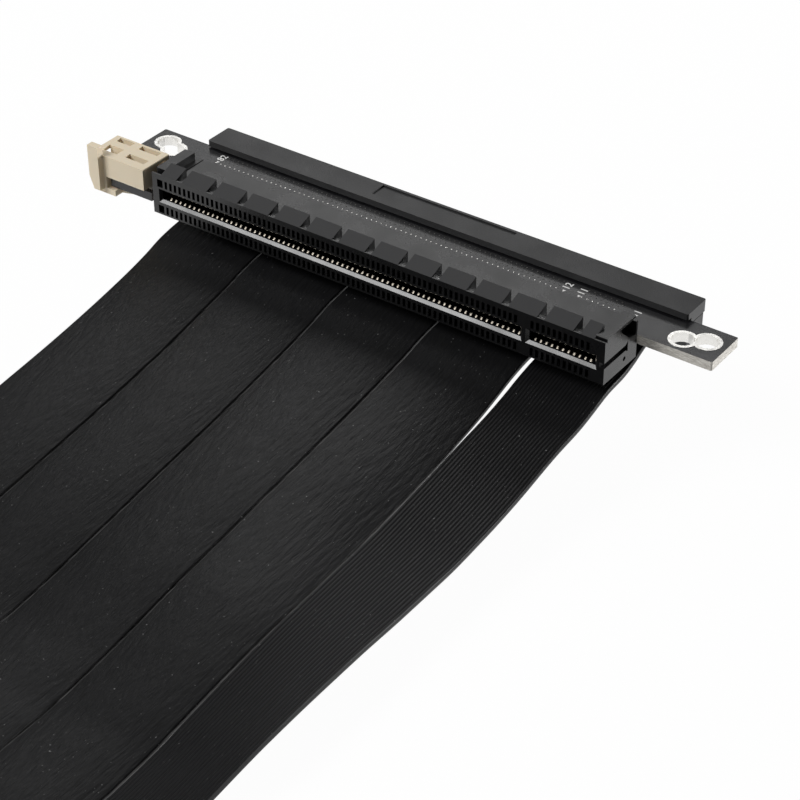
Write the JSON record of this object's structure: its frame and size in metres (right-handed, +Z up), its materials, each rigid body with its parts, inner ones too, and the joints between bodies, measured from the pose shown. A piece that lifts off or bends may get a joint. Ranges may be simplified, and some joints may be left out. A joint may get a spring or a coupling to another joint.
{
  "type": "graphics card riser cable",
  "caption": "Flat ribbon riser cable that carries a long card slot on a small board at one end and a card-edge plug at the other.",
  "frame": {"origin": "on the table under the middle of the box around the two ends", "axes": "+X along the card slot towards its pin-one end, +Y from the plug to the slot end, +Z up out of the table"},
  "size_m": [0.1146, 0.2452, 0.0271],
  "materials": {
    "housing": "moulded black plastic with a slight sheen",
    "contact": "gold-plated spring metal",
    "board": "black solder mask, satin",
    "plating": "tinned copper",
    "latch": "warm ivory moulded plastic",
    "pin": "plain steel",
    "cover": "fine-grained matte black plastic",
    "ribbon": "black film over fine wires, soft sheen"
  },
  "bodies": {
    "main": {"slot_housing": "housing", "slot_contacts_upper_long": "contact", "slot_contacts_lower_long": "contact", "slot_contacts_upper_short": "contact", "slot_contacts_lower_short": "contact", "slot_board": "board", "latch_tab_hole_rims": "plating", "screw_tab_hole_rims": "plating", "latch_pin": "pin", "ribbon_1": "ribbon", "ribbon_2": "ribbon", "ribbon_3": "ribbon", "ribbon_4": "ribbon", "ribbon_5": "ribbon", "slot_ground_bar_1": "plating", "slot_ground_bar_2": "plating", "slot_ground_bar_3": "plating", "slot_ground_bar_4": "plating", "slot_ground_bar_5": "plating", "slot_cover_upper": "cover", "slot_cover_lower": "cover", "plug_board": "board", "plug_fingers_top_long": "contact", "plug_fingers_bottom_long": "contact", "plug_fingers_top_short": "contact", "plug_fingers_bottom_short": "contact", "plug_ground_bar_1": "plating", "plug_ground_bar_2": "plating", "plug_ground_bar_3": "plating", "plug_ground_bar_4": "plating", "plug_ground_bar_5": "plating", "plug_cover_upper": "cover", "plug_cover_lower": "cover"},
    "latch": {"retention_latch": "latch"}
  },
  "joints": [
    {"name": "latch_turn", "type": "hinge", "parent": "main", "child": "latch", "pos_m": [-0.05122, 0.1027, 0.02135], "axis": [0, 0, 1], "range_deg": [-20, 0]}
  ]
}
